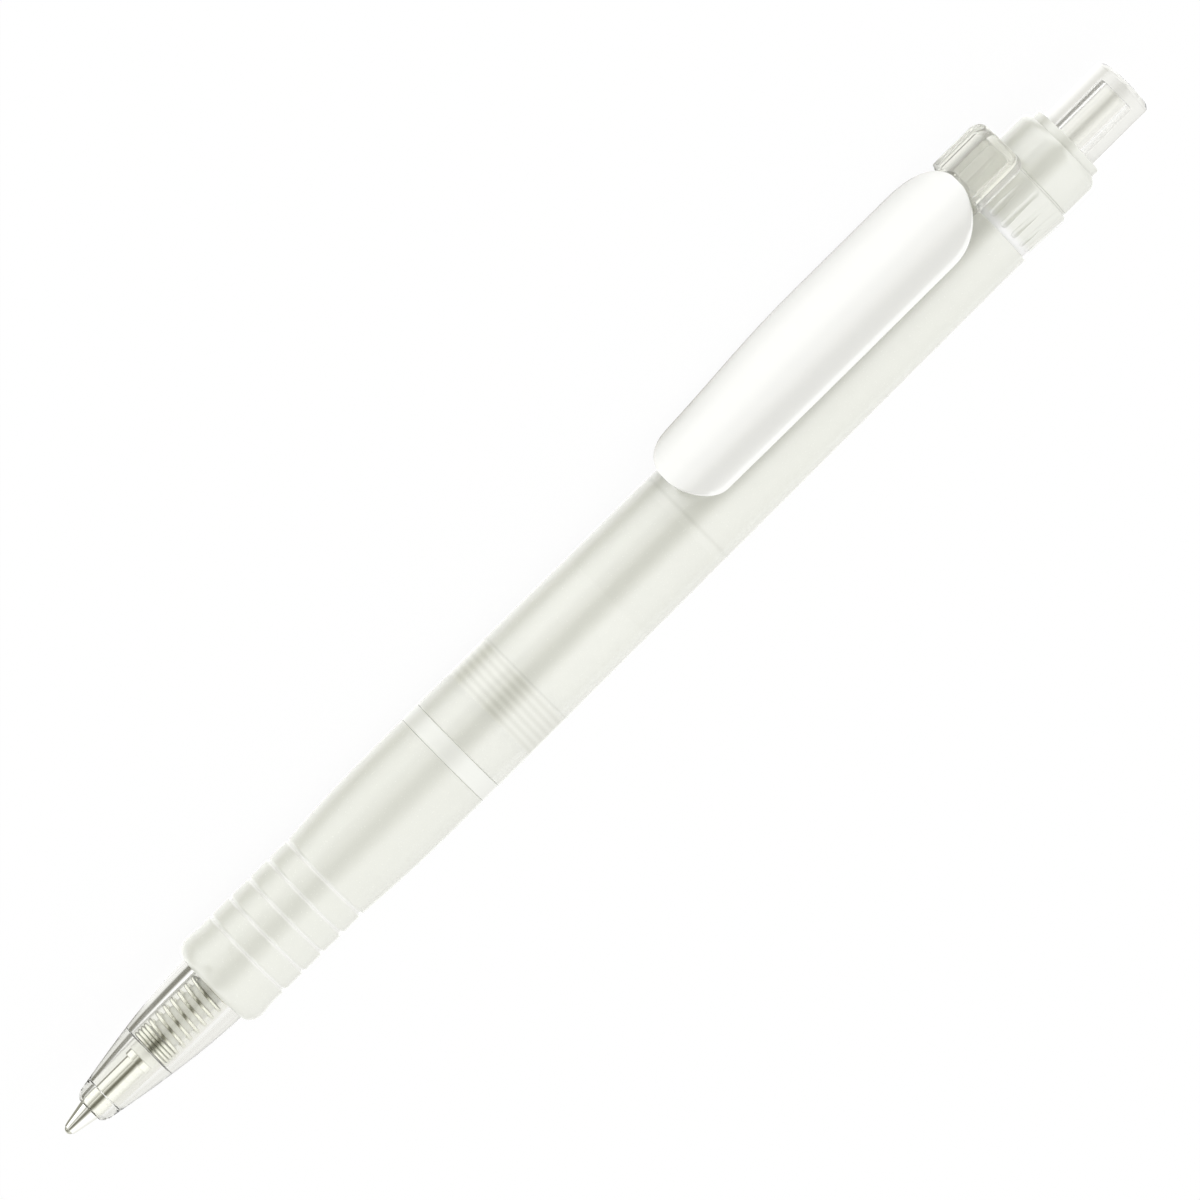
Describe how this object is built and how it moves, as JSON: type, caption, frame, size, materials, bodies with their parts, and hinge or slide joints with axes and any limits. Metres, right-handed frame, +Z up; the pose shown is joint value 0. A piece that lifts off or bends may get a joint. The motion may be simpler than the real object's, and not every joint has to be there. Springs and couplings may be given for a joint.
{
  "type": "ballpoint pen",
  "caption": "Retractable ballpoint pen with a clear nose and push button, frosted grooved grip and barrel, and an arched pocket clip.",
  "frame": {"origin": "on the table, under the middle of the pen's length and of its width across barrel and clip", "axes": "+X along the pen towards the writing tip, +Y away from the clip, +Z up from the table the pen lies on"},
  "size_m": [0.14, 0.0148, 0.0109],
  "materials": {
    "clear_plastic": "polished, clear",
    "frosted_plastic": "frosted, translucent",
    "white_plastic": "satin, opaque",
    "white_clip_plastic": "satin, slightly translucent",
    "refill_plastic": "smooth, translucent white",
    "nickel_silver": "turned and polished",
    "carbide": "ground",
    "spring_steel": "drawn wire",
    "ink": "wet"
  },
  "bodies": {
    "barrel": {"front_barrel": "clear_plastic", "grip_sleeve": "frosted_plastic", "threaded_coupler": "white_plastic", "upper_barrel": "frosted_plastic", "clip_collar": "frosted_plastic", "end_cap": "frosted_plastic", "guide_tube": "frosted_plastic", "spring": "spring_steel"},
    "clip": {"clip_plate": "white_clip_plastic", "clip_arm": "clear_plastic"},
    "button": {"push_button": "clear_plastic"},
    "refill": {"refill_tube": "refill_plastic", "ink_column": "ink", "refill_plug": "refill_plastic", "writing_tip": "nickel_silver"},
    "rotor": {"cam_rotor": "white_plastic"},
    "ball": {"writing_ball": "carbide"}
  },
  "joints": [
    {"name": "button_slide", "type": "slide", "parent": "barrel", "child": "button", "axis": [-1, 0, 0], "range_m": [-0.0009, 0.0044], "stiffness_N_per_m": 300},
    {"name": "refill_slide", "type": "slide", "parent": "barrel", "child": "refill", "axis": [-1, 0, 0], "range_m": [-0.0009, 0.0044], "deforming": ["spring"]},
    {"name": "rotor_turn", "type": "hinge", "parent": "refill", "child": "rotor", "pos_m": [-0.036, 0.002, 0.00545], "axis": [1, 0, 0], "continuous": true},
    {"name": "ball_roll", "type": "hinge", "parent": "refill", "child": "ball", "pos_m": [0.0695, 0.002, 0.00545], "axis": [0, 1, 0], "continuous": true},
    {"name": "clip_flex", "type": "hinge", "parent": "barrel", "child": "clip", "pos_m": [-0.0544, -0.00339, 0.00538], "axis": [0, 0.0136, -0.9999], "range_deg": [0, 5], "stiffness_Nm_per_rad": 2.5}
  ],
  "couplings": [
    {"joint": "refill_slide", "follows": "button_slide", "ratio": 1}
  ]
}
